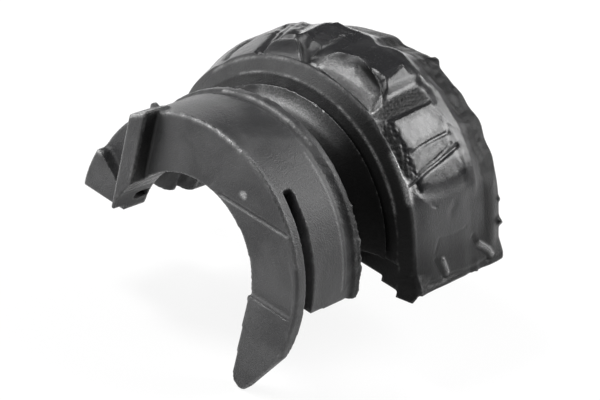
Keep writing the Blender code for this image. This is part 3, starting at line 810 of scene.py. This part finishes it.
def bloom_group():
    """Mask of the grey bloom on rubber: cloudy patches, with a little more in hollows."""
    tree, start, end = new_group(
        "rubber_bloom",
        [("Vector", "NodeSocketVector", None), ("Patch Size", "NodeSocketFloat", 120.0),
         ("Hollow", "NodeSocketFloat", 0.0), ("Amount", "NodeSocketFloat", 0.5)],
        [("Mask", "NodeSocketFloat")],
    )
    cloud = noise_node(tree, start.outputs["Vector"], start.outputs["Patch Size"], 4.0, 0.6, 0.4)
    patches = range_node(tree, cloud, *CLOUD_RANGE)
    settled = math_node(tree, "MULTIPLY", start.outputs["Hollow"], SETTLED_SHARE)
    both = math_node(tree, "ADD", patches, settled, clamp=True)
    tree.links.new(math_node(tree, "MULTIPLY", both, start.outputs["Amount"]), end.inputs["Mask"])
    return tree


# %% Group: edge wear
BREAK_RANGE = (0.42, 0.62)        # of the noise that breaks an edge up
BREAK_FACTORS = (0.25, 1.0)       # wear in the breaks and between them
EDGE_RANGE = (0.35, 0.95)         # of the stored edge, from unworn to fully worn


def wear_group():
    """Mask of the paler rubbed edges, broken up by noise."""
    tree, start, end = new_group(
        "edge_wear",
        [("Vector", "NodeSocketVector", None), ("Edge", "NodeSocketFloat", 0.0),
         ("Break Size", "NodeSocketFloat", 900.0), ("Amount", "NodeSocketFloat", 0.5)],
        [("Mask", "NodeSocketFloat")],
    )
    broken = noise_node(tree, start.outputs["Vector"], start.outputs["Break Size"], 3.0, 0.7)
    kept = range_node(tree, broken, *BREAK_RANGE, *BREAK_FACTORS)
    edge = range_node(tree, start.outputs["Edge"], *EDGE_RANGE)
    mask = math_node(tree, "MULTIPLY", edge, kept)
    tree.links.new(math_node(tree, "MULTIPLY", mask, start.outputs["Amount"]), end.inputs["Mask"])
    return tree


GRAIN = grain_group()
BLOOM = bloom_group()
WEAR = wear_group()
print("node groups:", [group.name for group in (GRAIN, BLOOM, WEAR)])


# %% Helpers for the material
def place_group(tree, group, **values):
    node = tree.nodes.new("ShaderNodeGroup")
    node.node_tree = group
    for name, value in values.items():
        socket = node.inputs[name.replace("_", " ")]
        if isinstance(value, bpy.types.NodeSocket):
            tree.links.new(value, socket)
        else:
            socket.default_value = value
    return node


def mix_color(tree, factor, first, second):
    node = tree.nodes.new("ShaderNodeMix")
    node.data_type = "RGBA"
    tree.links.new(factor, node.inputs["Factor"])
    for socket, value in ((node.inputs["A"], first), (node.inputs["B"], second)):
        if isinstance(value, bpy.types.NodeSocket):
            tree.links.new(value, socket)
        else:
            socket.default_value = (*value, 1.0)
    return node.outputs["Result"]


# %% Rubber material
MATT_BLACK = (0.020, 0.020, 0.021)
GLOSSY_BLACK = (0.014, 0.014, 0.015)
# near black of the painted shade
PAINTED_SHADE_BLACK = (0.006, 0.006, 0.006)
BLOOM_GREY = (0.070, 0.070, 0.071)
# grey of edge wear, of pale flash and of painted highlights
WEAR_FLASH_AND_SHEEN_GREY = (0.22, 0.22, 0.22)
MATT_ROUGHNESS = 0.45
GLOSSY_ROUGHNESS = 0.25
BLOOM_ROUGHNESS = 0.10            # added where the bloom lies
RUBBED_EDGE = (0.3, 0.9, 0.25)    # stored edge from, to, and how much smoother it is rubbed
OLD_MIRROR = 0.34                 # Specular IOR Level of aged rubber
PAINTED_SHADE_MIRROR = 0.10               # and where the painted shade is deepest
PALE_MIRROR = 1.3                 # added where flash is pale and where a highlight is painted
GLOSSY_BLOOM = 0.1                # share of the bloom that stays on the glossy block
GLOSSY_GRAIN = 0.30               # share of the grain's height that stays there
SPECK_SHARE = 0.55
BUMP_STRENGTH = 0.8
BUMP_DISTANCE = 0.14 * MM


def rubber(name):
    material = bpy.data.materials.new(name)
    material.use_nodes = True
    tree = material.node_tree
    shader = tree.nodes["Principled BSDF"]
    place = tree.nodes.new("ShaderNodeTexCoord").outputs["Object"]
    glossy = attribute_node(tree, "glossy")
    painted_shade = attribute_node(tree, "painted_shade")
    edge = attribute_node(tree, "edge")
    hollow = attribute_node(tree, "hollow")
    pale = attribute_node(tree, "pale")
    grain = place_group(tree, GRAIN, Vector=place, Grain_Size=3800.0, Wave_Size=330.0, Wave_Share=0.6)
    bloom = place_group(tree, BLOOM, Vector=place, Patch_Size=110.0, Hollow=hollow, Amount=0.55)
    wear = place_group(tree, WEAR, Vector=place, Edge=edge, Break_Size=1100.0, Amount=0.22)
    color = mix_color(tree, glossy, MATT_BLACK, GLOSSY_BLACK)
    matt = range_node(tree, glossy, 0.0, 1.0, 1.0, GLOSSY_BLOOM)
    dusty = math_node(tree, "MULTIPLY", bloom.outputs["Mask"], matt)
    color = mix_color(tree, dusty, color, BLOOM_GREY)
    specks = math_node(tree, "MULTIPLY", grain.outputs["Speckle"], SPECK_SHARE)
    color = mix_color(tree, specks, color, BLOOM_GREY)
    # painted shade: the stored shade darkens the colour towards near black
    color = mix_color(tree, painted_shade, color, PAINTED_SHADE_BLACK)
    # pale flash and painted highlights, broken into crumbs, mix in the same grey as edge wear
    crumbs = math_node(tree, "MULTIPLY", pale, grain.outputs["Crumbs"])
    rubbed = math_node(tree, "MAXIMUM", wear.outputs["Mask"], crumbs)
    color = mix_color(tree, rubbed, color, WEAR_FLASH_AND_SHEEN_GREY)
    tree.links.new(color, shader.inputs["Base Color"])
    rough = range_node(tree, glossy, 0.0, 1.0, MATT_ROUGHNESS, GLOSSY_ROUGHNESS)
    dust = math_node(tree, "MULTIPLY", bloom.outputs["Mask"], BLOOM_ROUGHNESS)
    rough = math_node(tree, "ADD", rough, dust, clamp=True)
    smoothed = math_node(tree, "MULTIPLY", range_node(tree, edge, *RUBBED_EDGE[:2]), RUBBED_EDGE[2])
    rough = math_node(tree, "SUBTRACT", rough, smoothed, clamp=True)
    tree.links.new(rough, shader.inputs["Roughness"])
    # painted shade weakens the mirror, pale flash and painted highlights strengthen it
    mirror = range_node(tree, painted_shade, 0.0, 1.0, OLD_MIRROR, PAINTED_SHADE_MIRROR)
    sheen = math_node(tree, "MULTIPLY", pale, PALE_MIRROR)
    mirror = math_node(tree, "ADD", mirror, sheen, clamp=True)
    tree.links.new(mirror, shader.inputs["Specular IOR Level"])
    bump = tree.nodes.new("ShaderNodeBump")
    bump.inputs["Strength"].default_value = BUMP_STRENGTH
    bump.inputs["Distance"].default_value = BUMP_DISTANCE
    grain_share = range_node(tree, glossy, 0.0, 1.0, 1.0, GLOSSY_GRAIN)
    height = math_node(tree, "MULTIPLY", grain.outputs["Height"], grain_share)
    tree.links.new(height, bump.inputs["Height"])
    tree.links.new(bump.outputs["Normal"], shader.inputs["Normal"])
    return material


skin.data.materials.append(rubber("black_rubber"))
print("materials:", [material.name for material in skin.data.materials])


# %% [markdown]
# The camera
#
# The camera stands in front, to the right and above, turned a little about its own axis,
# as in the photograph. The lens is long, so the part shows little perspective. Its place
# could be set by eye. Here it was worked out from the round edges of collar, lip and
# flange, whose real sizes the solid model has.

# %% Camera
CAMERA_AZIMUTH = 33.143
CAMERA_ELEVATION = 28.047
CAMERA_ROLL = 14.364
CAMERA_DISTANCE = 270.0 * MM
CAMERA_TARGET = Vector((9.405, 13.5, 11.07)) * MM
CAMERA_LENS = 105.98              # mm
CAMERA_NEAREST = 10.0 * MM

azimuth = math.radians(CAMERA_AZIMUTH)
elevation = math.radians(CAMERA_ELEVATION)
roll = math.radians(CAMERA_ROLL)
look = Vector((
    -math.sin(azimuth) * math.cos(elevation),
    math.cos(azimuth) * math.cos(elevation),
    -math.sin(elevation),
))
side = Vector((math.cos(azimuth), math.sin(azimuth), 0.0))
above = side.cross(look)
camera_right = side * math.cos(roll) + above * math.sin(roll)
camera_up = above * math.cos(roll) - side * math.sin(roll)
camera = bpy.data.objects.new("camera", bpy.data.cameras.new("camera"))
bpy.context.scene.collection.objects.link(camera)
turn = Matrix((camera_right, camera_up, -look)).transposed().to_4x4()
camera.matrix_world = Matrix.Translation(CAMERA_TARGET - look * CAMERA_DISTANCE) @ turn
camera.data.lens = CAMERA_LENS
camera.data.clip_start = CAMERA_NEAREST
bpy.context.scene.camera = camera
print("camera at mm:", [round(v / MM, 1) for v in camera.matrix_world.translation])


# %% [markdown]
# A dim room and four soft lamps
#
# Black rubber is seen by what it mirrors. The room is an even, dark grey. A soft key lamp
# stands at the front left and models the faces. A broad panel hangs behind the part,
# above and a little to the right: the glossy pads on the block's right side mirror it and
# turn pale, while the faces on top look past it and stay dark. A low strip behind, on the
# left, lights the grazing left end of collar and block, and a small lamp high in front
# puts the sheen on the swellings' round fronts and on the saddle. Rays that go straight
# from the camera to the surroundings meet plain white.

# %% World
ROOM_LIGHT = 0.06

world = bpy.data.worlds.new("studio")
bpy.context.scene.world = world
world.use_nodes = True
world_tree = world.node_tree
background = world_tree.nodes["Background"]
background.inputs["Color"].default_value = (1.0, 1.0, 1.0, 1.0)
seen = world_tree.nodes.new("ShaderNodeLightPath").outputs["Is Camera Ray"]
world_tree.links.new(math_node(world_tree, "MAXIMUM", seen, ROOM_LIGHT), background.inputs["Strength"])
print("room light:", ROOM_LIGHT)


# %% Lamps
LAMPS = (
    # name, direction from the part, distance in m, width and height in m, power in W
    ("key", (-0.60, -0.68, 0.42), 0.7, (0.35, 0.35), 4.2),
    ("panel", (0.42, 0.66, 0.58), 0.5, (0.28, 0.28), 3.4),
    ("strip", (-0.68, 0.73, 0.03), 0.6, (0.56, 0.13), 0.9),
    ("front", (-0.46, -0.30, 0.84), 0.5, (0.13, 0.13), 1.9),
)


def area_light(name, direction, distance, size, power):
    data = bpy.data.lights.new(name, "AREA")
    data.shape = "RECTANGLE"
    data.size, data.size_y = size
    data.energy = power
    lamp = bpy.data.objects.new(name, data)
    bpy.context.scene.collection.objects.link(lamp)
    away = Vector(direction).normalized()
    lamp.location = (solid_low + solid_high) / 2 + away * distance
    lamp.rotation_euler = away.to_track_quat("Z", "Y").to_euler()


for lamp in LAMPS:
    area_light(*lamp)
print("lamps:", [lamp[0] for lamp in LAMPS])


# %% [markdown]
# White paper below
#
# The photograph's ground is plain white, with hardly a shadow. A floor that is only lit
# would turn grey at the rim of the picture, and one that only glows would let the part
# float. So the camera sees a blend: mostly glow, and a small share of lit paper that
# keeps the soft shadow. All other rays meet plain paper.

# %% Floor
PAPER_SHARE = 0.14                # of the floor that shows its own light and shadow
PAPER_WHITE = (0.9, 0.9, 0.9)
PAPER_ROUGHNESS = 0.9
FLOOR_SIZE = 4.0                  # m
FLOOR_GAP = 0.1 * MM

bpy.ops.object.select_all(action="DESELECT")
bpy.ops.mesh.primitive_plane_add(size=FLOOR_SIZE, location=(0.0, 0.0, solid_low.z - FLOOR_GAP))
floor = bpy.context.object
floor.name = "floor"
paper = bpy.data.materials.new("white_paper")
paper.use_nodes = True
paper_tree = paper.node_tree
paper_shader = paper_tree.nodes["Principled BSDF"]
paper_shader.inputs["Base Color"].default_value = (*PAPER_WHITE, 1.0)
paper_shader.inputs["Roughness"].default_value = PAPER_ROUGHNESS
glow = paper_tree.nodes.new("ShaderNodeEmission")
blend = paper_tree.nodes.new("ShaderNodeMixShader")
seen = paper_tree.nodes.new("ShaderNodeLightPath").outputs["Is Camera Ray"]
paper_tree.links.new(math_node(paper_tree, "MULTIPLY", seen, 1.0 - PAPER_SHARE), blend.inputs["Fac"])
paper_tree.links.new(paper_shader.outputs["BSDF"], blend.inputs[1])
paper_tree.links.new(glow.outputs["Emission"], blend.inputs[2])
paper_tree.links.new(blend.outputs["Shader"], paper_tree.nodes["Material Output"].inputs["Surface"])
floor.data.materials.append(paper)
print("floor at mm:", round(floor.location.z / MM, 1))

bpy.context.scene.view_settings.view_transform = "Standard"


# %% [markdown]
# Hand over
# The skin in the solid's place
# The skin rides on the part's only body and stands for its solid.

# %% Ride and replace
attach(skin, "root")
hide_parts(NODE)
